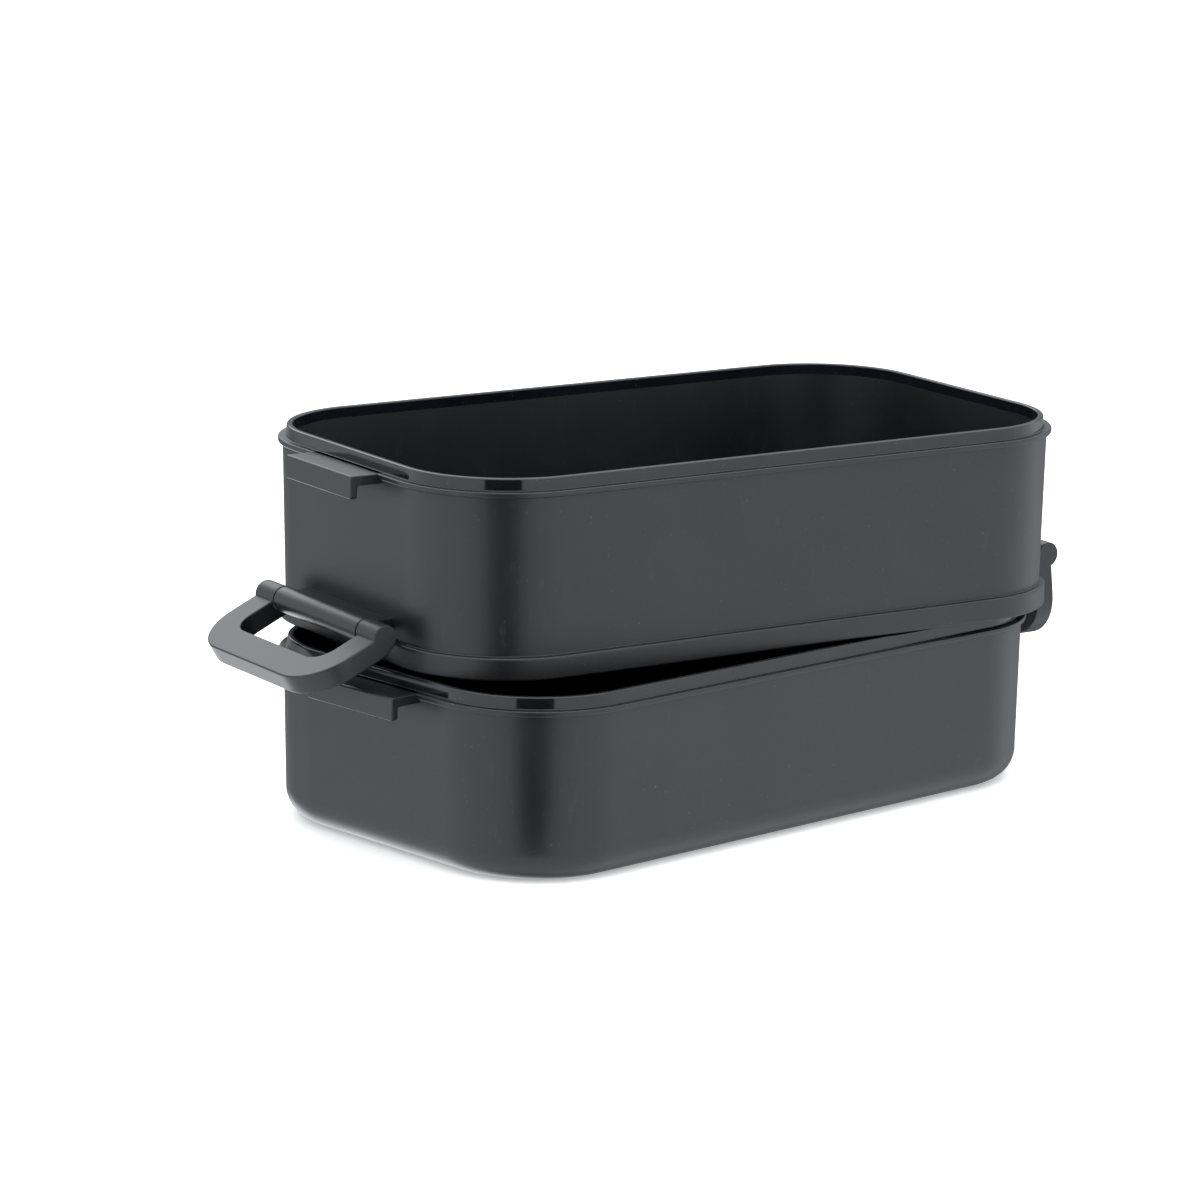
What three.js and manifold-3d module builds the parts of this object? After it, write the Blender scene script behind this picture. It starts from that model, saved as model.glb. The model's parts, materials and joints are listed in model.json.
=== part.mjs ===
// Two-tier lunch box: two stacked plastic tubs, joined by a swinging clip on each short end.
// Millimetres, +Z up. The origin is the centre of the lower tub's flat underside.
import * as THREE from "three";
import { mergeVertices } from "three/addons/utils/BufferGeometryUtils.js";
import Module from "manifold-3d";

const wasm = await Module();
wasm.setup();

// Plan of both tubs, measured on the outside of the wall just under the rim.
const tubLength = 191;
const tubWidth = 111.2;
const cornerRadius = 29.4;
const wall = 2.6;
const floorThickness = 2.2;

// Rim of both tubs: a thin flange, and an inset collar that stands on it.
const flangeOverhang = 1.2;
const flangeThickness = 1.5;
const collarInset = 0.8;
const collarHeight = 3.1;
const collarEdgeRadius = 0.5;

// Lower tub: height of the flange's top face, and how far the wall leans in at the foot.
const lowerRimHeight = 43.9;
const lowerDraft = 0.8;
const lowerFootRadius = 7.4;

// Upper tub: the same, counted from the bottom edge of its skirt.
const upperRimHeight = 47;
const upperDraft = 0.9;
const upperFootRadius = 6;
const skirtHeight = 5.8;
const skirtStep = 1.6;
const collarSideClearance = 0.4;
const collarTopClearance = 0.4;

// Catch ledges on the short ends: a plate level with the flange and a lip turned down at its edge.
const ledgeReach = 8.8;
const ledgeHalfWidth = 16.4;
const ledgeThickness = 2.6;
const lipThickness = 2;
const lipHeight = 5.9;
const lipCornerRadius = 0.8;
const ledgeRibThickness = 1.6;
const ledgeRibDrop = 9.4;
const ledgeRibReach = 2;

// Hinge on each short end of the upper tub.
const hingeStandoff = 6.66;
const hingeHeight = 8.8;
const knuckleRadius = 3.3;
const barrelHalfLength = 20.6;
const knuckleGap = 0.4;
const bracketThickness = 2.8;
const bracketDrop = 1.1;
const pinRadius = 1;
const pinClearance = 0.3;
const knuckleSkin = 1.6;
const pinEndGap = 0.3;

// Clip, hanging closed: its arms and cross bar are one plate with a window. With the tubs pushed
// together, the foot of the window stops just under the lower ledge's lip.
const clipHalfWidth = 30.2;
const clipLength = 24;
const clipFaceOffset = 1;
const clipDepth = 5.4;
const clipCornerRadius = 13;
const clipWindowTop = 4;
const windowHalfWidth = 21.6;
const windowCornerRadius = 5.4;
const lipClearance = 0.6;

// Rest pose: the upper tub stands crooked on the lower tub's collar.
const restGap = 0.3;
const upperShiftX = 8;
const upperShiftY = 6.3;
const upperTurn = -9.73;
const leftClipOpening = 65;
const rightClipOpening = 6;

const cornerSteps = 9;
const edgeSteps = 4;
const roundSteps = 24;

const hingeX = tubLength / 2 + hingeStandoff;
const windowFoot = hingeHeight + lipHeight + lipClearance;

const plastic = { color: 0x3c4043, roughness: 0.5, metalness: 0 };
const steel = { color: 0xa8abad, roughness: 0.35, metalness: 1 };

// A closed geometry as a solid, made from its positions alone with equal ones merged.
function solidOf(geometry) {
  const bare = geometry.clone();
  bare.deleteAttribute("normal");
  bare.deleteAttribute("uv");
  const merged = mergeVertices(bare, 1e-5);
  const vertProperties = Float32Array.from(merged.attributes.position.array);
  const triVerts = Uint32Array.from(merged.index.array);
  return new wasm.Manifold(new wasm.Mesh({ numProp: 3, vertProperties, triVerts }));
}

function geometryOf(solid) {
  const mesh = solid.getMesh();
  const geometry = new THREE.BufferGeometry();
  geometry.setAttribute("position", new THREE.BufferAttribute(mesh.vertProperties, 3));
  geometry.setIndex(new THREE.BufferAttribute(mesh.triVerts, 1));
  geometry.computeVertexNormals();
  return geometry;
}

function box(x0, x1, y0, y1, z0, z1) {
  const geometry = new THREE.BoxGeometry(x1 - x0, y1 - y0, z1 - z0);
  return solidOf(geometry.translate((x0 + x1) / 2, (y0 + y1) / 2, (z0 + z1) / 2));
}

// A rod along Y, from y0 to y1.
function rod(radius, y0, y1) {
  const geometry = new THREE.CylinderGeometry(radius, radius, y1 - y0, roundSteps);
  return solidOf(geometry.translate(0, (y0 + y1) / 2, 0));
}

// The tub's plan, grown by `offset` on every side (negative shrinks it), with its corners to match.
function tubPlan(offset) {
  const halfX = tubLength / 2 + offset;
  const halfY = tubWidth / 2 + offset;
  const radius = cornerRadius + offset;
  const shape = new THREE.Shape();
  shape.absarc(halfX - radius, halfY - radius, radius, 0, Math.PI / 2);
  shape.absarc(radius - halfX, halfY - radius, radius, Math.PI / 2, Math.PI);
  shape.absarc(radius - halfX, radius - halfY, radius, Math.PI, 1.5 * Math.PI);
  shape.absarc(halfX - radius, radius - halfY, radius, 1.5 * Math.PI, 2 * Math.PI);
  return shape;
}

// A straight-sided block of the tub's plan, from z0 to z1.
function planBlock(offset, z0, z1) {
  const options = { depth: z1 - z0, bevelEnabled: false, curveSegments: cornerSteps };
  return solidOf(new THREE.ExtrudeGeometry(tubPlan(offset), options).translate(0, 0, z0));
}

// The same block with round edges top and bottom.
function roundedBlock(offset, z0, z1, edgeRadius) {
  const options = {
    depth: z1 - z0 - 2 * edgeRadius,
    bevelThickness: edgeRadius,
    bevelSize: edgeRadius,
    bevelOffset: -edgeRadius,
    bevelSegments: edgeSteps,
    curveSegments: cornerSteps,
  };
  return new THREE.ExtrudeGeometry(tubPlan(offset), options).translate(0, 0, z0 + edgeRadius);
}

// A tub-shaped block that is full size at `rim` and `draft` smaller all round at `foot`.
function draftedBlock(offset, foot, rim, edgeRadius, draft) {
  const geometry = roundedBlock(offset, foot, rim + 2 * edgeRadius, edgeRadius);
  const position = geometry.attributes.position;
  for (let i = 0; i < position.count; i += 1) {
    const lean = (draft * (rim - position.getZ(i))) / (rim - foot);
    const x = position.getX(i) * (1 - (2 * lean) / tubLength);
    const y = position.getY(i) * (1 - (2 * lean) / tubWidth);
    position.setXY(i, x, y);
  }
  return solidOf(geometry);
}

// Everything of `solid` above z1 is cut away.
function cutAbove(solid, z1) {
  const reach = tubLength;
  return solid.subtract(box(-reach, reach, -reach, reach, z1, z1 + reach));
}

// Flange, and the collar above it with its outer top edge rounded.
function rim(height) {
  const flange = planBlock(flangeOverhang, height - flangeThickness, height);
  const foot = height - flangeThickness;
  const collar = roundedBlock(-collarInset, foot, height + collarHeight, collarEdgeRadius);
  return flange.add(solidOf(collar));
}

// The food space, open at the top, which leaves the wall and the floor.
function foodSpace(floor, height, edgeRadius, draft) {
  return draftedBlock(-wall, floor, height + collarHeight, edgeRadius, draft);
}

// A shape drawn in Y and Z becomes a plate that starts at x0 and grows towards +X.
function plateAlongX(shape, x0, thickness) {
  const options = { depth: thickness, bevelEnabled: false, curveSegments: cornerSteps };
  const geometry = new THREE.ExtrudeGeometry(shape, options);
  return solidOf(geometry.rotateX(Math.PI / 2).rotateZ(Math.PI / 2).translate(x0, 0, 0));
}

// A profile drawn in X and Z becomes a bar from y0 to y1.
function barAlongY(shape, y0, y1) {
  const options = { depth: y1 - y0, bevelEnabled: false, curveSegments: cornerSteps };
  const geometry = new THREE.ExtrudeGeometry(shape, options);
  return solidOf(geometry.rotateX(Math.PI / 2).translate(0, y1, 0));
}

// A plate outline in Y and Z, from `top` down to `bottom`, with both lower corners rounded.
function roundFootOutline(halfWidth, top, bottom, radius) {
  const shape = new THREE.Shape();
  const arcY = halfWidth - radius;
  shape.moveTo(halfWidth, top);
  shape.lineTo(-halfWidth, top);
  shape.absarc(-arcY, bottom + radius, radius, Math.PI, 1.5 * Math.PI);
  shape.absarc(arcY, bottom + radius, radius, 1.5 * Math.PI, 2 * Math.PI);
  return shape;
}

// One catch ledge on the +X end, with its top face at `height`.
function ledge(height) {
  const inner = (tubLength - wall) / 2;
  const outer = tubLength / 2 + ledgeReach;
  const plate = box(inner, outer, -ledgeHalfWidth, ledgeHalfWidth, height - ledgeThickness, height);
  const face = roundFootOutline(ledgeHalfWidth, height, height - lipHeight, lipCornerRadius);
  const lip = plateAlongX(face, outer - lipThickness, lipThickness);
  const ribEnd = tubLength / 2 + ledgeRibReach;
  const ribHalf = ledgeRibThickness / 2;
  const ribTop = height - ledgeThickness / 2;
  const rib = box(inner, ribEnd, -ribHalf, ribHalf, height - ledgeRibDrop, ribTop);
  return plate.add(lip).add(rib);
}

// The piece made for the +X end, and the same turned half round for the other end.
function bothEnds(solid) {
  return solid.add(solid.rotate([0, 0, 180]));
}

function lowerContainer() {
  const height = lowerRimHeight;
  const shell = cutAbove(draftedBlock(0, 0, height, lowerFootRadius, lowerDraft), height);
  const innerFoot = lowerFootRadius - floorThickness;
  return shell
    .add(rim(height))
    .add(bothEnds(ledge(height)))
    .subtract(foodSpace(floorThickness, height, innerFoot, lowerDraft));
}

// Hinge barrel on the +X end, joined to the wall by a flat bracket.
function hingeBracket() {
  const top = hingeHeight + knuckleRadius - bracketDrop;
  const inner = (tubLength - wall) / 2;
  const half = barrelHalfLength;
  const plate = box(inner, hingeX, -half, half, top - bracketThickness, top);
  return plate.add(rod(knuckleRadius, -half, half).translate([hingeX, 0, hingeHeight]));
}

// The bore stops short of the clip's outer faces, so the pin's ends don't show.
function pinBore() {
  const half = clipHalfWidth - knuckleSkin;
  return rod(pinRadius + pinClearance, -half, half);
}

function upperContainer() {
  const height = upperRimHeight;
  const recessDepth = collarHeight + collarTopClearance;
  const floor = recessDepth + floorThickness;
  const shell = cutAbove(draftedBlock(0, 0, height, upperFootRadius, upperDraft), height);
  const skirt = planBlock(skirtStep - upperDraft, 0, skirtHeight);
  const recess = planBlock(collarSideClearance - collarInset, -1, recessDepth);
  const innerFoot = upperFootRadius - floorThickness;
  return shell
    .add(skirt)
    .add(rim(height))
    .add(bothEnds(ledge(height)))
    .subtract(recess)
    .subtract(foodSpace(floor, height, innerFoot, upperDraft))
    .add(bothEnds(hingeBracket()))
    .subtract(bothEnds(pinBore().translate([hingeX, 0, hingeHeight])));
}

// The arm's top end on one side: it wraps the knuckle and is drawn across the hinge axis.
function armRoot(y0, y1) {
  const back = clipFaceOffset - clipDepth;
  const foot = -clipWindowTop - clipDepth / 2;
  const shape = new THREE.Shape();
  shape.moveTo(back, foot);
  shape.lineTo(clipFaceOffset, foot);
  const meet = Math.acos(clipFaceOffset / knuckleRadius);
  shape.absarc(0, 0, knuckleRadius, -meet, 0.9 * Math.PI);
  shape.lineTo(back, -clipFaceOffset);
  return barAlongY(shape, y0, y1);
}

// A clip as it hangs closed on the +X end, with its hinge axis on the Y axis.
function clip() {
  const back = clipFaceOffset - clipDepth;
  const outline = roundFootOutline(clipHalfWidth, -clipWindowTop, -clipLength, clipCornerRadius);
  const window = roundFootOutline(windowHalfWidth, knuckleRadius, -windowFoot, windowCornerRadius);
  const knuckleStart = barrelHalfLength + knuckleGap;
  let solid = plateAlongX(outline, back, clipDepth)
    .subtract(plateAlongX(window, back - 1, clipDepth + 2));
  for (const [y0, y1] of [[windowHalfWidth, clipHalfWidth], [-clipHalfWidth, -windowHalfWidth]]) {
    solid = solid.add(armRoot(y0, y1));
  }
  solid = solid.add(rod(knuckleRadius, knuckleStart, clipHalfWidth));
  solid = solid.add(rod(knuckleRadius, -clipHalfWidth, -knuckleStart));
  return solid.subtract(pinBore());
}

function hingePin() {
  const half = clipHalfWidth - knuckleSkin - pinEndGap;
  return rod(pinRadius, -half, half);
}

function namedMesh(name, solid, finish) {
  const mesh = new THREE.Mesh(geometryOf(solid), new THREE.MeshStandardMaterial(finish));
  mesh.name = name;
  return mesh;
}

const lunchBox = new THREE.Group();
lunchBox.add(namedMesh("lower_container", lowerContainer(), plastic));

const upperTier = new THREE.Group();
upperTier.position.set(upperShiftX, upperShiftY, lowerRimHeight + collarHeight + restGap);
upperTier.rotation.z = THREE.MathUtils.degToRad(upperTurn);
upperTier.add(namedMesh("upper_container", upperContainer(), plastic));
lunchBox.add(upperTier);

// Each end's group faces out along its own +X, so that both clips open by the same turn about Y.
const ends = [
  { side: "left", facing: Math.PI, opening: leftClipOpening },
  { side: "right", facing: 0, opening: rightClipOpening },
];
for (const end of ends) {
  const endGroup = new THREE.Group();
  endGroup.rotation.z = end.facing;
  const hinge = new THREE.Group();
  hinge.position.set(hingeX, 0, hingeHeight);
  hinge.rotation.y = -THREE.MathUtils.degToRad(end.opening);
  hinge.add(namedMesh(`${end.side}_clip`, clip(), plastic));
  endGroup.add(hinge);
  const pin = namedMesh(`${end.side}_hinge_pin`, hingePin(), steel);
  pin.position.copy(hinge.position);
  endGroup.add(pin);
  upperTier.add(endGroup);
}

export default lunchBox;
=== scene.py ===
import json
import math

import bmesh
import bpy
import numpy as np
from mathutils import Matrix, Vector


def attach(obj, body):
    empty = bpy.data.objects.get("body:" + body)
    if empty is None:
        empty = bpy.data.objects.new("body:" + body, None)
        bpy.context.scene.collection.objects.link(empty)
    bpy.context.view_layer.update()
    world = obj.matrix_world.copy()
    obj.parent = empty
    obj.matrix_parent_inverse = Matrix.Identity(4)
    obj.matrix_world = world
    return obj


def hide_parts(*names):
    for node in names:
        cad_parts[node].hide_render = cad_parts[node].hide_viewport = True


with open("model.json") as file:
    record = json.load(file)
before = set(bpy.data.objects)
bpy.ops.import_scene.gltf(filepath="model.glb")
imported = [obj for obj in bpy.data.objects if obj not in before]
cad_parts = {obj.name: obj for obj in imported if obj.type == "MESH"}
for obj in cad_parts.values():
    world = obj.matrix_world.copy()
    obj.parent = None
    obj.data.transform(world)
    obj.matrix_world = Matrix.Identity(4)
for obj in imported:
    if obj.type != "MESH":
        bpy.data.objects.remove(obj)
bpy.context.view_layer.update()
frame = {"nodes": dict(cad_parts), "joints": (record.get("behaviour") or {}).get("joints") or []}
joints = {joint["name"]: joint for joint in frame["joints"]}
print("frame loaded:", len(frame["nodes"]), "parts")

mm = 0.001


def unit(vectors):
    return vectors / np.linalg.norm(vectors, axis=-1, keepdims=True)


# A line through the corners with an arc at each inner one: P = S + r sin(a) d + r (1 - cos(a)) n,
# where d is the way in, n points to the inside of the bend and a runs from 0 to the turn.
# One point close before and after each arc keeps the flats flat in shading.
def roundedPath(corners, radii, steps=6, fill=2):
    corners = np.asarray(corners, float)
    radius = np.asarray(radii, float)[:, None]
    middle = corners[1:-1]
    before = unit(middle - corners[:-2])
    after = unit(corners[2:] - middle)
    cross = before[:, :1] * after[:, 1:] - before[:, 1:] * after[:, :1]
    turn = np.arctan2(cross, (before * after).sum(1, keepdims=True))
    side = np.stack([-before[:, 1], before[:, 0]], 1) * np.sign(turn)
    reach = radius * np.tan(np.abs(turn) / 2)
    angle = (np.abs(turn) * np.linspace(0, 1, steps + 1))[..., None]
    start = middle - before * reach
    along = np.sin(angle) * before[:, None] + (1 - np.cos(angle)) * side[:, None]
    arc = start[:, None] + radius[..., None] * along
    lead = np.clip(0.25 * radius, 0.03, 0.4)
    arc = np.concatenate([(start - before * lead)[:, None], arc], 1)
    arc = np.concatenate([arc, (middle + after * (reach + lead))[:, None]], 1)
    tails = np.concatenate([corners[:1], arc[:, -1]])
    heads = np.concatenate([arc[:, 0], corners[-1:]])
    share = np.linspace(0, 1, fill + 2)[1:-1, None]
    between = tails[:, None] + (heads - tails)[:, None] * share
    joined = np.concatenate([between[:-1], arc], 1).reshape(-1, 2)
    return np.concatenate([corners[:1], joined, between[-1], corners[-1:]])


def placed(points, matrix):
    turn = np.array(matrix.to_3x3())
    return points @ turn.T + np.array(matrix.translation)


# A grid of points becomes quads; the last column joins the first, and equal points are merged,
# which closes seams and poles.
def shell(name, points):
    rows, columns = points.shape[:2]
    row, column = np.meshgrid(np.arange(rows - 1), np.arange(columns), indexing="ij")
    beside = (column + 1) % columns
    corners = [
        row * columns + column,
        row * columns + beside,
        (row + 1) * columns + beside,
        (row + 1) * columns + column,
    ]
    faces = np.stack(corners, -1).reshape(-1, 4)
    mesh = bpy.data.meshes.new(name)
    mesh.from_pydata(points.reshape(-1, 3), [], faces)
    work = bmesh.new()
    work.from_mesh(mesh)
    bmesh.ops.remove_doubles(work, verts=work.verts, dist=2e-6)
    bmesh.ops.dissolve_degenerate(work, edges=work.edges, dist=1e-6)
    bmesh.ops.recalc_face_normals(work, faces=work.faces)
    work.to_mesh(mesh)
    work.free()
    made = bpy.data.objects.new(name, mesh)
    bpy.context.scene.collection.objects.link(made)
    return made


# Shells are united with the first, or cut from it, and the result is one closed moulding.
def combine(base, others, operation):
    for other in others:
        change = base.modifiers.new("combine", "BOOLEAN")
        change.operation = operation
        change.solver = "EXACT"
        change.object = other
        bpy.context.view_layer.objects.active = base
        with bpy.context.temp_override(object=base, active_object=base):
            bpy.ops.object.modifier_apply(modifier=change.name)
        bpy.data.objects.remove(other, do_unlink=True)
    return base


def finished(piece, material, body, slot, *nodes):
    mesh = piece.data
    mesh.polygons.foreach_set("use_smooth", np.ones(len(mesh.polygons), bool))
    mesh.set_sharp_from_angle(angle=math.radians(32))
    mesh.materials.clear()
    mesh.materials.append(material)
    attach(piece, body)
    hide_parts(*nodes)
    mesh.update()
    print(piece.name, "made:", len(mesh.polygons), "faces")
    return piece


# A shader socket that takes part in sums.
class Signal:
    def __init__(self, tree, socket):
        self.tree = tree
        self.socket = socket

    def maths(self, operation, *values):
        node = self.tree.nodes.new("ShaderNodeMath")
        node.operation = operation
        for place, value in enumerate(values):
            plug(self.tree, value, node.inputs[place])
        return Signal(self.tree, node.outputs[0])

    def __add__(self, other):
        return self.maths("ADD", self, other)

    def __radd__(self, other):
        return self.maths("ADD", other, self)

    def __sub__(self, other):
        return self.maths("SUBTRACT", self, other)

    def __rsub__(self, other):
        return self.maths("SUBTRACT", other, self)

    def __mul__(self, other):
        return self.maths("MULTIPLY", self, other)

    def __rmul__(self, other):
        return self.maths("MULTIPLY", other, self)

    # 0 below low, 1 above high and a smooth step between them
    def step(self, low, high):
        node = self.tree.nodes.new("ShaderNodeMapRange")
        node.interpolation_type = "SMOOTHSTEP"
        plug(self.tree, self, node.inputs["Value"])
        plug(self.tree, low, node.inputs["From Min"])
        plug(self.tree, high, node.inputs["From Max"])
        return Signal(self.tree, node.outputs["Result"])


def plug(tree, value, socket):
    if isinstance(value, Signal):
        tree.links.new(value.socket, socket)
    else:
        socket.default_value = value


def named(sockets, name):
    if isinstance(name, int):
        return sockets[name]
    return next(s for s in sockets if s.enabled and name in (s.identifier, s.name))


# The shader nodes of a material, or of the world.
class Finish:
    def __init__(self, owner):
        self.owner = owner
        owner.use_nodes = True
        self.tree = owner.node_tree
        self.tree.nodes.clear()

    def node(self, kind, settings, sockets, output=0):
        node = self.tree.nodes.new(kind)
        for key, value in settings.items():
            setattr(node, key, value)
        for key, value in sockets.items():
            plug(self.tree, value, named(node.inputs, key))
        if not node.outputs:
            return node
        found = node.outputs[0] if output == 0 else named(node.outputs, output)
        return Signal(self.tree, found)

    def place(self):
        return self.node("ShaderNodeTexCoord", {}, {}, "Object")

    def noise(self, place, scale, detail=2.0, roughness=0.5):
        sockets = {"Vector": place, "Scale": scale, "Detail": detail, "Roughness": roughness}
        return self.node("ShaderNodeTexNoise", {}, sockets)

    def mix(self, share, first, second):
        sockets = {"Factor_Float": share, "A_Color": first, "B_Color": second}
        return self.node("ShaderNodeMix", {"data_type": "RGBA"}, sockets, "Result_Color")

    def dot(self, first, second):
        return self.node("ShaderNodeVectorMath", {"operation": "DOT_PRODUCT"}, {0: first, 1: second}, "Value")

    def output(self, surface, kind="ShaderNodeOutputMaterial"):
        self.node(kind, {}, {"Surface": surface})
        return self.owner


def newFinish(name):
    return Finish(bpy.data.materials.new(name))


plasticLook = {
    "dark": (0.0034, 0.0043, 0.0062, 1),
    "light": (0.0058, 0.0070, 0.0092, 1),
    "dust": (0.110, 0.115, 0.120, 1),
    "roughness": 0.37,
    "polishedRoughness": 0.09,
    "cloudScale": 38.0,
    "rubScale": 520.0,
    "speckScale": 1500.0,
    "grain": 3200.0,
    "grainDepth": 0.000016,
    "specular": 0.56,
    "ior": 1.49,
}


# Moulded polypropylene: cloudy charcoal, a fine spark-eroded grain, faint rubs and a little dust.
# Above polishedFrom (a height in metres) the mould was polished, so the rim is smoother.
def plastic(name, look, polishedFrom):
    finish = newFinish(name)
    place = finish.place()
    height = finish.node("ShaderNodeSeparateXYZ", {}, {"Vector": place}, "Z")
    polished = height.step(polishedFrom, polishedFrom + 0.0003)
    stretched = finish.node(
        "ShaderNodeMapping", {}, {"Vector": place, "Scale": (1, 1, 0.25), "Rotation": (0.3, 0.2, 0.4)}
    )
    clouds = finish.noise(place, look["cloudScale"], 3, 0.55)
    rubs = finish.noise(stretched, look["rubScale"], 4, 0.6).step(0.60, 0.74)
    specks = finish.noise(place, look["speckScale"], 1, 0.4).step(0.74, 0.80)
    grain = finish.noise(place, look["grain"], 2, 0.6)
    cloudy = finish.mix(clouds.step(0.3, 0.7), look["dark"], look["light"])
    colour = finish.mix(specks * 0.30 + rubs * 0.05, cloudy, look["dust"])
    satin = look["roughness"] + (clouds - 0.5) * 0.06 + rubs * 0.05 + specks * 0.15
    roughness = satin - polished * (look["roughness"] - look["polishedRoughness"])
    bump = finish.node(
        "ShaderNodeBump",
        {},
        {"Height": grain * (1 - polished * 0.8) + rubs * 0.15, "Strength": 0.5, "Distance": look["grainDepth"]},
        "Normal",
    )
    surface = finish.node(
        "ShaderNodeBsdfPrincipled",
        {},
        {
            "Base Color": colour,
            "Roughness": roughness,
            "Normal": bump,
            "IOR": look["ior"],
            "Specular IOR Level": look["specular"],
        },
        "BSDF",
    )
    return finish.output(surface)


steelLook = {
    "bright": (0.62, 0.63, 0.64, 1),
    "dull": (0.45, 0.46, 0.47, 1),
    "roughness": 0.28,
    "lineScale": 6000.0,
    "cloudScale": 300.0,
    "lineDepth": 0.00001,
}


# Drawn steel wire: fine lines along the rod and a cloudy tarnish.
def steel(name, look):
    finish = newFinish(name)
    place = finish.place()
    drawn = finish.node("ShaderNodeMapping", {}, {"Vector": place, "Scale": (1, 0.04, 1)})
    lines = finish.noise(drawn, look["lineScale"], 2, 0.6)
    clouds = finish.noise(place, look["cloudScale"], 3, 0.6)
    colour = finish.mix(clouds.step(0.35, 0.7), look["bright"], look["dull"])
    drawing = {"Height": lines, "Strength": 0.4, "Distance": look["lineDepth"]}
    bump = finish.node("ShaderNodeBump", {}, drawing, "Normal")
    surface = finish.node(
        "ShaderNodeBsdfPrincipled",
        {},
        {
            "Base Color": colour,
            "Roughness": look["roughness"] + (clouds - 0.5) * 0.2,
            "Metallic": 1.0,
            "Normal": bump,
        },
        "BSDF",
    )
    return finish.output(surface)


# Sizes that both tubs share, in millimetres.
tub = {
    "length": 191.0,
    "width": 111.2,
    "cornerRadius": 29.4,
    "wall": 2.6,
    "flangeOverhang": 1.2,
    "flangeThickness": 1.5,
    "flangeUnderEdge": 0.55,
    "flangeTopEdge": 0.4,
    "collarInset": 0.8,
    "collarLean": 0.25,
    "collarHeight": 3.1,
    "collarOuterEdge": 0.5,
    "collarInnerEdge": 0.4,
    "crease": 0.25,
    "columns": 20,
    "fill": 10,
}

# The rest of each tub, with heights above its own lowest edge.
lowerTub = {"rim": 43.9, "floor": 2.2, "draft": 0.8, "footRadius": 7.4, "innerFootRadius": 5.2}
upperTub = {
    "rim": 47.0,
    "floor": 5.7,
    "draft": 0.9,
    "innerFootRadius": 3.8,
    "skirtHeight": 5.8,
    "skirtOffset": 0.7,
    "skirtTopEdge": 0.7,
    "skirtFootEdge": 0.5,
    "recessOffset": -0.4,
    "recessHeight": 3.5,
}


# The rim's corners and radii from the wall's outside, over the top, and down to the inner floor,
# as offsets from the plan and heights.
def rimCorners(own):
    inner = -tub["wall"] - own["draft"]
    under = own["rim"] - tub["flangeThickness"]
    top = own["rim"] + tub["collarHeight"]
    corners = [
        (-0.03, under, tub["crease"]),
        (tub["flangeOverhang"], under, tub["flangeUnderEdge"]),
        (tub["flangeOverhang"], own["rim"], tub["flangeTopEdge"]),
        (-tub["collarInset"], own["rim"], tub["crease"]),
        (-tub["collarInset"] - tub["collarLean"], top, tub["collarOuterEdge"]),
        (-tub["wall"], top, tub["collarInnerEdge"]),
        (inner, own["floor"], own["innerFootRadius"]),
    ]
    return corners, (inner - own["innerFootRadius"] - 6, own["floor"])


# The whole section: from a first point under the floor, over the outer corners and the rim.
def tubProfile(first, outer, own):
    rim, last = rimCorners(own)
    corners = [*outer, *rim]
    path = [first, *[corner[:2] for corner in corners], last]
    return roundedPath(path, [corner[2] for corner in corners], 8, 3)


# P(u, v) = c(u) + (cornerRadius + offset(v)) n(u) at height z(v): c goes round the rectangle of the
# corners' centres, n turns only at the corners. Each end shrinks to a point on the flat floor.
def tubShell(name, profile, matrix):
    radius = tub["cornerRadius"]
    halfX = tub["length"] / 2 - radius
    halfY = tub["width"] / 2 - radius
    centres = np.array([(halfX, halfY), (-halfX, halfY), (-halfX, -halfY), (halfX, -halfY)])
    turn = np.radians(90 * np.arange(4)[:, None] + np.linspace(0, 90, tub["columns"] + 1))
    arcs = np.stack([np.cos(turn), np.sin(turn)], -1)
    share = np.concatenate([[0.01], np.linspace(0, 1, tub["fill"] + 2)[1:-1], [0.99]])[:, None]
    ahead = np.roll(centres, -1, 0)
    sides = centres[:, None] + (ahead - centres)[:, None] * share
    still = np.repeat(centres[:, None], tub["columns"] + 1, 1)
    flat = np.repeat(arcs[:, -1:], len(share), 1)
    centre = np.concatenate([still, sides], 1).reshape(-1, 2)
    normal = np.concatenate([arcs, flat], 1).reshape(-1, 2)
    offset, height = profile[:, 0], profile[:, 1]
    rings = centre + (radius + offset)[:, None, None] * normal
    shrink = np.array([0.0, 0.2, 0.4, 0.6, 0.8])[:, None, None]
    plan = np.concatenate([rings[0] * shrink, rings, rings[-1] * shrink[::-1]])
    level = np.concatenate([[height[0]] * 5, height, [height[-1]] * 5])
    points = np.dstack([plan, np.broadcast_to(level[:, None], plan.shape[:2])])
    return shell(name, placed(points, matrix) * mm)


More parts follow.
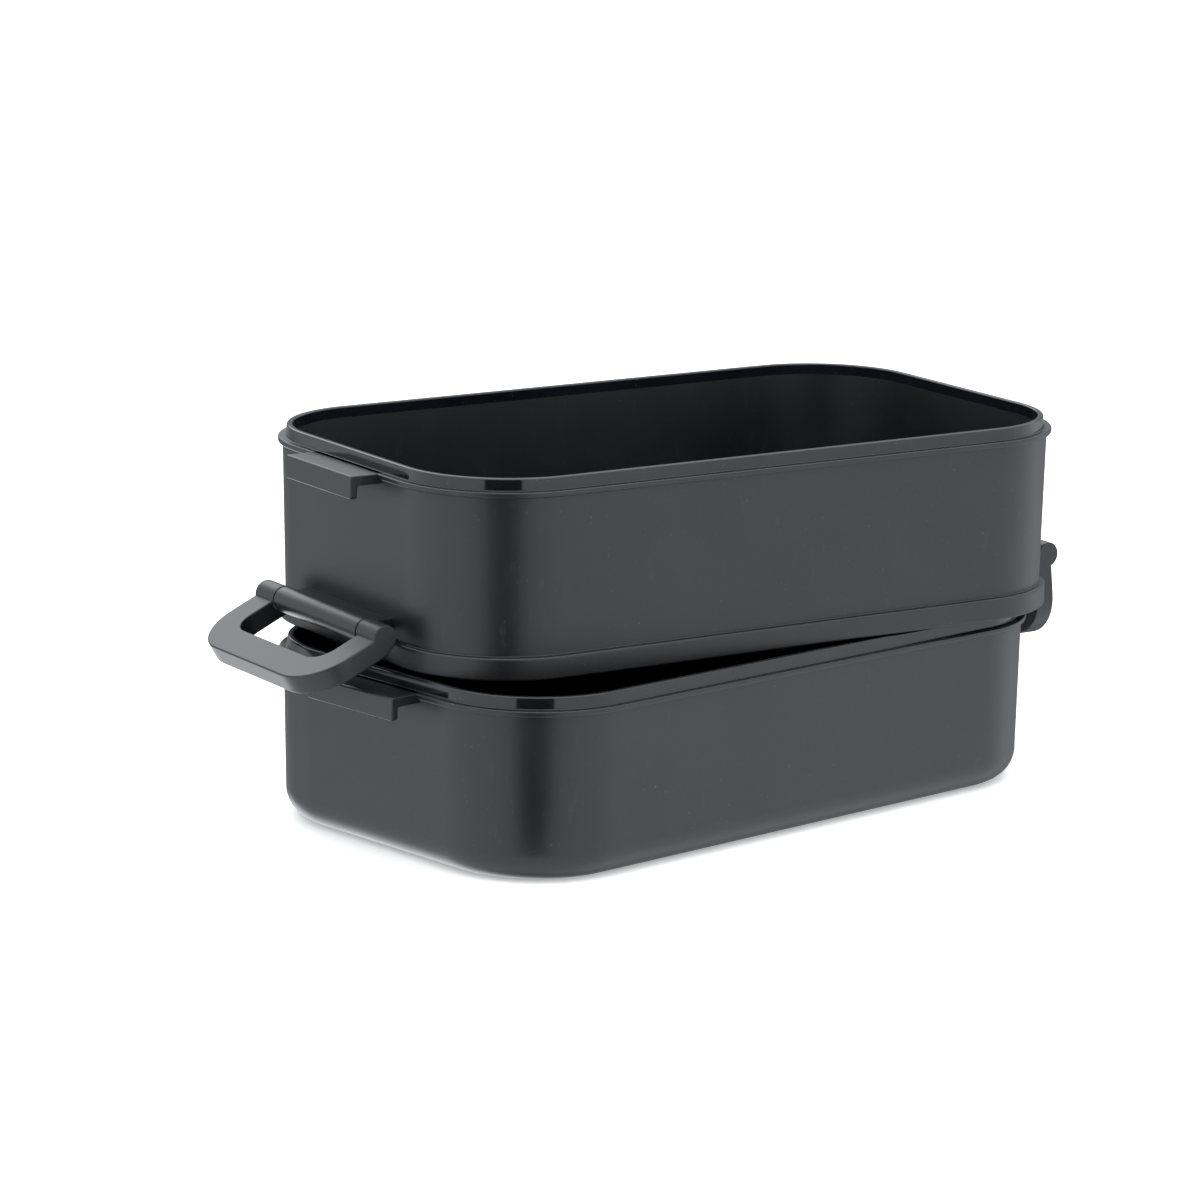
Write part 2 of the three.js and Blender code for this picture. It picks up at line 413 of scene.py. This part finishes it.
# A bent plate: the section at v is a rounded rectangle between inner(v) and outer(v), and between
# low(v) and high(v) across. The two curves meet at both ends, which closes it.
def bentPlate(outer, inner, low, high, edge, steps=4):
    thickness = np.linalg.norm(outer - inner, axis=1)[:, None]
    width = (high - low)[:, None]
    radius = np.minimum(edge, np.minimum(thickness, width) / 2)
    quarter = np.arange(4)[:, None]
    angle = np.radians(90 * quarter + np.linspace(0, 90, steps + 1)[[0, *range(steps + 1), -1]])
    signT = np.repeat([1.0, -1.0, -1.0, 1.0], steps + 3)
    signW = np.repeat([1.0, 1.0, -1.0, -1.0], steps + 3)
    begin, end = np.zeros(steps + 3), np.zeros(steps + 3)
    begin[0], end[-1] = 0.3, 0.3
    leadT = np.where(quarter % 2, begin, end).ravel() * signT
    leadW = np.where(quarter % 2, end, begin).ravel() * signW
    flatT, flatW = thickness / 2 - radius, width / 2 - radius
    t = signT * flatT + radius * np.cos(angle).ravel() - leadT * np.minimum(radius, flatT)
    w = signW * flatW + radius * np.sin(angle).ravel() - leadW * np.minimum(radius, flatW)
    share = 0.5 + t / np.maximum(thickness, 1e-9)
    plan = inner[:, None] + (outer - inner)[:, None] * share[..., None]
    return plan, (low + high)[:, None] / 2 + w


ledgeSizes = {
    "reach": 8.8,
    "halfWidth": 16.4,
    "thickness": 2.6,
    "lipThickness": 2.0,
    "lipHeight": 5.9,
    "lipCorner": 0.8,
    "edge": 0.38,
    "bend": 0.6,
    "root": 1.7,
    "ribThickness": 1.6,
    "ribDrop": 9.4,
    "ribReach": 2.0,
    "ribEdge": 0.25,
}


# The ledge's plate and lip are one bent plate; its lip narrows to the round lower corners:
# half width = halfWidth - r + sqrt(r^2 - (r - d)^2) at a height d below r above the foot.
def ledgeShells(name, height, matrix):
    size = ledgeSizes
    start = tub["length"] / 2 - size["root"]
    out = tub["length"] / 2 + size["reach"]
    foot = height - size["lipHeight"]
    under = height - size["thickness"]
    back = out - size["lipThickness"]
    middle = (out + back) / 2
    bends = [0.1, size["bend"], size["edge"]]
    begin = (start, (height + under) / 2)
    outer = [begin, (start, height), (out, height), (out, foot), (middle, foot)]
    inner = [begin, (start, under), (back, under), (back, foot), (middle, foot)]
    outer = roundedPath(outer, bends, 5, 14)
    inner = roundedPath(inner, bends, 5, 14)
    corner = size["lipCorner"]
    drop = np.clip((outer[:, 1] + inner[:, 1]) / 2 - foot, 0, corner)
    half = size["halfWidth"] - corner + np.sqrt(corner**2 - (corner - drop) ** 2)
    flat, across = bentPlate(outer, inner, -half, half, size["edge"])
    points = np.stack([flat[..., 0], across, flat[..., 1]], -1)
    shells = [shell(name, placed(points, matrix) * mm)]
    end = tub["length"] / 2 + size["ribReach"]
    drop = size["ribDrop"] - size["thickness"] / 2
    centre = ((start + end) / 2, 0, height - size["ribDrop"] + drop / 2)
    half = ((end - start) / 2, size["ribThickness"] / 2, drop / 2)
    return shells + [block(name + "_rib", centre, half, size["ribEdge"], matrix)]


# A box with round edges: P = centre + sign(n) (half - r) + r n, with n going over the whole ball.
def block(name, centre, half, radius, matrix, steps=4):
    quarter = np.radians(np.linspace(0, 90, steps + 1))
    turn = (np.arange(4)[:, None] * math.pi / 2 + quarter).reshape(1, -1)
    rise = np.concatenate([quarter - math.pi / 2, quarter]).reshape(-1, 1)
    upper = np.repeat([-1.0, 1.0], steps + 1).reshape(-1, 1)
    signX = np.repeat([1.0, -1.0, -1.0, 1.0], steps + 1).reshape(1, -1)
    signY = np.repeat([1.0, 1.0, -1.0, -1.0], steps + 1).reshape(1, -1)
    x = signX * (half[0] - radius) + radius * np.cos(rise) * np.cos(turn)
    y = signY * (half[1] - radius) + radius * np.cos(rise) * np.sin(turn)
    z = upper * (half[2] - radius) + radius * np.sin(rise) + 0 * turn
    points = np.stack([x, y, z], -1)
    points = np.concatenate([points[:1] * (0, 0, 1), points, points[-1:] * (0, 0, 1)])
    return shell(name, placed(points + centre, matrix) * mm)


# A turned shape about the Y axis: P(u, v) = (r(v) cos u, y(v), r(v) sin u).
def turned(name, profile, matrix, columns=64):
    angle = np.linspace(0, 2 * math.pi, columns, endpoint=False)
    radius, along = profile[:, :1], profile[:, 1:]
    points = [radius * np.cos(angle), along + 0 * angle, radius * np.sin(angle)]
    return shell(name, placed(np.stack(points, -1), matrix) * mm)


hinge = {
    "standoff": 6.66,
    "height": 8.8,
    "radius": 3.3,
    "barrelHalf": 20.6,
    "barrelEdge": 0.35,
    "partingRidge": 0.05,
    "bracketThickness": 2.8,
    "bracketDrop": 1.1,
    "bracketEdge": 0.3,
    "bracketRoot": 1.6,
    "boreRadius": 1.3,
    "boreHalf": 40.0,
}
hinge["fromMiddle"] = tub["length"] / 2 + hinge["standoff"]


# The barrel is a turned rod with a raised parting line round its middle; the bracket is a block.
def barrelShells(name, matrix):
    size = hinge
    centreX = size["fromMiddle"]
    half, radius, ridge = size["barrelHalf"], size["radius"], size["partingRidge"]
    corners = [(0, -half), (radius, -half), (radius, -0.2), (radius + ridge, -0.1)]
    corners += [(radius + ridge, 0.1), (radius, 0.2), (radius, half), (0, half)]
    edge = size["barrelEdge"]
    profile = roundedPath(corners, [edge, 0.05, 0.03, 0.03, 0.05, edge], 5, 4)
    axis = matrix @ Matrix.Translation((centreX, 0, size["height"]))
    top = size["height"] + size["radius"] - size["bracketDrop"]
    start = tub["length"] / 2 - size["bracketRoot"]
    thick = size["bracketThickness"] / 2
    centre = ((start + centreX) / 2, 0, top - thick)
    halfSize = ((centreX - start) / 2, half - 0.05, thick)
    bracket = block(name + "Bracket", centre, halfSize, size["bracketEdge"], matrix)
    return [turned(name, profile, axis), bracket]


# The hole for a pin, from -half to half along its axis.
def bore(name, matrix, half):
    radius = hinge["boreRadius"]
    profile = np.array([(0, -half), (radius, -half), (radius, half), (0, half)], float)
    return turned(name, profile, matrix, 40)


clipSizes = {
    "halfWidth": 30.2,
    "length": 24.0,
    "front": 1.0,
    "back": -4.4,
    "corner": 13.0,
    "windowHalf": 21.6,
    "windowFoot": 15.3,
    "windowCorner": 5.4,
    "edge": 0.4,
    "knuckleStart": 21.0,
    "knuckleEdge": 0.35,
    "knuckleSkin": 1.6,
    "knuckleInset": 1.5,
    "backDraft": 0.5,
    "opened": {"left": 65.0, "right": 6.0},
}


# One arm's rows from the top of its knuckle down: z = R cos(a), then straight. The plate's front
# and back follow the knuckle's circle until they meet the flat faces.
def clipShell(name, matrix):
    size = clipSizes
    radius = hinge["radius"]
    armX = (size["halfWidth"] + size["windowHalf"]) / 2
    angle = np.linspace(0, math.radians(107), 22)
    knuckle = radius * np.cos(angle)
    lower = np.array([-1.4, -2.0, -2.6, -2.95, -3.145, -3.3, -3.6, -4.4, -5.6])
    high = np.concatenate([knuckle, lower])
    arc = np.radians(np.linspace(0, 90, 15))[:, None]
    middle = np.linspace(1, 0, 14)[1:, None]

    def outline(halfWidth, foot, corner):
        arm = np.stack([np.full(len(high), halfWidth), high], 1)
        centre = np.array([(halfWidth - corner, foot + corner)])
        stem = arm[-1:] + (centre + (corner, 0) - arm[-1:]) * np.linspace(0, 1, 4)[1:-1, None]
        bend = centre + corner * np.concatenate([np.cos(arc), -np.sin(arc)], 1)
        bar = np.concatenate([middle * (halfWidth - corner), foot + 0 * middle], 1)
        half = np.concatenate([[(armX, high[0])], arm, stem, bend, bar])
        return np.concatenate([half, (half * (-1, 1))[-2::-1]])

    outer = outline(size["halfWidth"], -size["length"], size["corner"])
    inner = outline(size["windowHalf"], -size["windowFoot"], size["windowCorner"])
    z = np.minimum(outer[:, 1], inner[:, 1])
    circle = np.sqrt(np.clip(radius**2 - z**2, 0, None))
    meets = -math.sqrt(radius**2 - size["front"] ** 2)
    front = np.where(z > meets, circle, size["front"])
    slope = np.interp(z, [-1.0, 1.02], [size["back"], -3.14])
    back = np.where(z > 1.02, -circle, slope)
    flat, across = bentPlate(outer, inner, back, front, size["edge"])
    points = np.stack([across, flat[..., 0], flat[..., 1]], -1)
    depth = (size["front"] - across) / (size["front"] - size["back"])
    low = np.clip(-4.0 - flat[..., 1], 0, 1)
    points[..., 2] += size["backDraft"] * depth * low * np.clip((-17 - flat[..., 1]) / 3, 0, 1)
    plate = shell(name, placed(points, matrix) * mm)
    start, end = size["knuckleStart"], size["halfWidth"] - size["knuckleInset"]
    corners = [(0, start), (radius - 0.01, start), (radius - 0.01, end), (0, end)]
    profile = roundedPath(corners, [size["knuckleEdge"]] * 2, 5, 2)
    knuckles = [
        turned(name + "Knuckle", profile, matrix),
        turned(name + "Knuckle", profile * (1, -1), matrix),
    ]
    combine(plate, knuckles, "UNION")
    reach = size["halfWidth"] - size["knuckleSkin"]
    return combine(plate, [bore(name + "Bore", matrix, reach)], "DIFFERENCE")


# The upper tier stands between its two hinges, turned as they are.
left, right = joints["left_clip_swing"], joints["right_clip_swing"]
hinges = [Vector(joint["pos_m"]) / mm for joint in (left, right)]
tierCentre = (hinges[0] + hinges[1]) / 2 - Vector((0, 0, hinge["height"]))
tierTurn = math.atan2(left["axis"][1], left["axis"][0]) - math.pi / 2
stand = Matrix.Identity(4)
tier = Matrix.Translation(tierCentre) @ Matrix.Rotation(tierTurn, 4, "Z")
halfTurn = Matrix.Rotation(math.pi, 4, "Z")

lowerPlastic = plastic("charcoal_lower_tub", plasticLook, (lowerTub["rim"] + 0.1) * mm)
upperPlastic = plastic("charcoal_upper_tub", plasticLook, (tierCentre.z + upperTub["rim"] + 0.1) * mm)
clipPlastic = plastic("charcoal_clips", {**plasticLook, "roughness": 0.40}, 1.0)  # nowhere polished
pinSteel = steel("hinge_pin_steel", steelLook)
print("finishes made")

foot = (-lowerTub["draft"], 0, lowerTub["footRadius"])
lower = tubShell("lower_tub", tubProfile((foot[0] - foot[2] - 6, 0), [foot], lowerTub), stand)
for facing in (stand, halfTurn):
    combine(lower, ledgeShells("lower_ledge", lowerTub["rim"], stand @ facing), "UNION")
finished(lower, lowerPlastic, "lower_tier", "tub_plastic", "lower_container")

wallAtSkirt = -upperTub["draft"] * (1 - upperTub["skirtHeight"] / upperTub["rim"])
skirt = [
    (upperTub["recessOffset"], upperTub["recessHeight"], 0.4),
    (upperTub["recessOffset"], 0, 0.25),
    (upperTub["skirtOffset"], 0, upperTub["skirtFootEdge"]),
    (upperTub["skirtOffset"], upperTub["skirtHeight"], upperTub["skirtTopEdge"]),
    (wallAtSkirt, upperTub["skirtHeight"], tub["crease"]),
]
upper = tubShell("upper_tub", tubProfile((-12, upperTub["recessHeight"]), skirt, upperTub), tier)
for facing in (stand, halfTurn):
    end = tier @ facing
    axis = end @ Matrix.Translation((hinge["fromMiddle"], 0, hinge["height"]))
    barrel, bracket = barrelShells("barrel", end)
    combine(barrel, [bracket], "UNION")
    combine(barrel, [bore("upper_bore", axis, hinge["boreHalf"])], "DIFFERENCE")
    combine(upper, ledgeShells("upper_ledge", upperTub["rim"], end) + [barrel], "UNION")
finished(upper, upperPlastic, "upper_tier", "tub_plastic", "upper_container")

for side, facing in (("left", halfTurn), ("right", stand)):
    axis = tier @ facing @ Matrix.Translation((hinge["fromMiddle"], 0, hinge["height"]))
    swung = axis @ Matrix.Rotation(-math.radians(clipSizes["opened"][side]), 4, "Y")
    made = clipShell(side + "_clip_plate", swung)
    finished(made, clipPlastic, side + "_clip", "clip_plastic", side + "_clip")
    pin = frame["nodes"][side + "_hinge_pin"]
    pin.data.materials.clear()
    pin.data.materials.append(pinSteel)

studio = {
    "level": 1.36,
    "dimWay": (0.55, 0.835, 0.0),
    "dimBy": 0.72,
    "softboxWay": (0.3098, 0.7795, 0.5447),
    "softbox": 1.5,
    "bounceWay": (0.25, 0.75, -0.61),
    "bounce": 2.5,
    "overhead": 1.1,
    "backdrop": 1.15,
    "tint": (0.93, 0.98, 1.0, 1),
    "floorHalf": 12.0,
    "floorLight": (0.90, 0.90, 0.90, 1),
    "floorDark": (0.88, 0.88, 0.88, 1),
    "floorGlow": 0.30,
}

# A white room: dim and low behind the object, with one large softbox above and behind it.
world = bpy.data.worlds.new("white_room")
bpy.context.scene.world = world
world.use_nodes = True
world.cycles.sampling_method = "NONE"
room = Finish(world)
way = room.node("ShaderNodeTexCoord", {}, {}, "Generated")
level = room.node("ShaderNodeVectorMath", {"operation": "MULTIPLY"}, {0: way, 1: (1, 1, 0)})
level = room.node("ShaderNodeVectorMath", {"operation": "NORMALIZE"}, {0: level})
rise = room.node("ShaderNodeSeparateXYZ", {}, {"Vector": way}, "Z")
dim = room.dot(level, studio["dimWay"]).step(0.35, 0.9) * (1 - rise.step(0.25, 0.5))
softbox = room.dot(way, studio["softboxWay"]).step(0.90, 0.97)
bounce = room.dot(way, studio["bounceWay"]).step(0.92, 0.965)
strength = studio["level"] * (1 - dim * studio["dimBy"]) + softbox * studio["softbox"]
strength = strength + bounce * studio["bounce"] + rise.step(0.6, 0.85) * studio["overhead"]
seen = room.node("ShaderNodeLightPath", {}, {}, "Is Camera Ray")
strength = strength * (1 - seen) + seen * studio["backdrop"]
light = room.node("ShaderNodeBackground", {}, {"Color": studio["tint"], "Strength": strength})
room.output(light, "ShaderNodeOutputWorld")

half = studio["floorHalf"]
floorMesh = bpy.data.meshes.new("floor")
floorCorners = [(-half, -half, 0), (half, -half, 0), (half, half, 0), (-half, half, 0)]
floorMesh.from_pydata(floorCorners, [], [(0, 1, 2, 3)])
floor = bpy.data.objects.new("floor", floorMesh)
bpy.context.scene.collection.objects.link(floor)
floor.location.z = -0.00005
paper = newFinish("floor_paper")
shade = paper.mix(paper.noise(paper.place(), 60, 3, 0.6), studio["floorDark"], studio["floorLight"])
sockets = {
    "Base Color": shade,
    "Roughness": 0.9,
    "Specular IOR Level": 0.1,
    "Emission Color": (1, 1, 1, 1),
    "Emission Strength": studio["floorGlow"],
}
floorMesh.materials.append(paper.output(paper.node("ShaderNodeBsdfPrincipled", {}, sockets, "BSDF")))
floor.visible_glossy = False

# A black card low in front of the near corner, seen only in reflections: P = foot + d (way +- d tan(a)),
# on the floor up to its bend and then upright.
card = {
    "foot": (-0.0855, -0.0475),
    "yaw": -42.5,
    "near": 0.02,
    "bend": 0.9,
    "lift": 0.0005,
    "top": 0.6,
    "halfAngle": 19.0,
}
ahead = np.array([card["near"], card["bend"], card["bend"]])[:, None]
z = np.array([card["lift"], card["lift"], card["top"]])[:, None]
aside = np.array([-1.0, 1.0]) * math.tan(math.radians(card["halfAngle"])) * ahead
cardYaw = math.radians(card["yaw"])
wayX, wayY = math.sin(cardYaw), -math.cos(cardYaw)
x = card["foot"][0] + wayX * ahead - wayY * aside
y = card["foot"][1] + wayY * ahead + wayX * aside
cardMesh = bpy.data.meshes.new("dark_card")
cardPoints = np.stack([x, y, z + 0 * aside], -1).reshape(-1, 3)
cardMesh.from_pydata(cardPoints, [], [(0, 1, 3, 2), (2, 3, 5, 4)])
cardObject = bpy.data.objects.new("dark_card", cardMesh)
bpy.context.scene.collection.objects.link(cardObject)
for ray in ("camera", "diffuse", "shadow", "transmission", "volume_scatter"):
    setattr(cardObject, "visible_" + ray, False)
black = newFinish("black_card")
cloth = black.node("ShaderNodeBsdfDiffuse", {}, {"Color": (0.01, 0.01, 0.01, 1)})
cardMesh.materials.append(black.output(cloth))

# The camera stands where its yaw, pitch and distance say, and is rolled a little about its own axis.
view = {
    "yaw": -42.546,
    "pitch": 12.499,
    "roll": 0.817,
    "distance": 1.286636,
    "aimHeight": 0.05,
    "shiftRight": -0.015532,
    "shiftUp": 0.000809,
    "lens": 148.998,
    "sensor": 36.0,
}
yaw, pitch, roll = (math.radians(view[key]) for key in ("yaw", "pitch", "roll"))
sideways = Vector((math.cos(yaw), math.sin(yaw), 0))
back = Vector((math.sin(yaw) * math.cos(pitch), -math.cos(yaw) * math.cos(pitch), math.sin(pitch)))
up = back.cross(sideways)
location = Vector((0, 0, view["aimHeight"])) + back * view["distance"]
location += sideways * view["shiftRight"] + up * view["shiftUp"]
axisX = sideways * math.cos(roll) + up * math.sin(roll)
axisY = up * math.cos(roll) - sideways * math.sin(roll)
cameraData = bpy.data.cameras.new("camera")
cameraData.lens = view["lens"]
cameraData.sensor_width = view["sensor"]
camera = bpy.data.objects.new("camera", cameraData)
camera.matrix_world = Matrix.Translation(location) @ Matrix((axisX, axisY, back)).transposed().to_4x4()
bpy.context.scene.collection.objects.link(camera)
bpy.context.scene.camera = camera
bpy.context.scene.view_settings.view_transform = "Standard"
print("room and camera set")
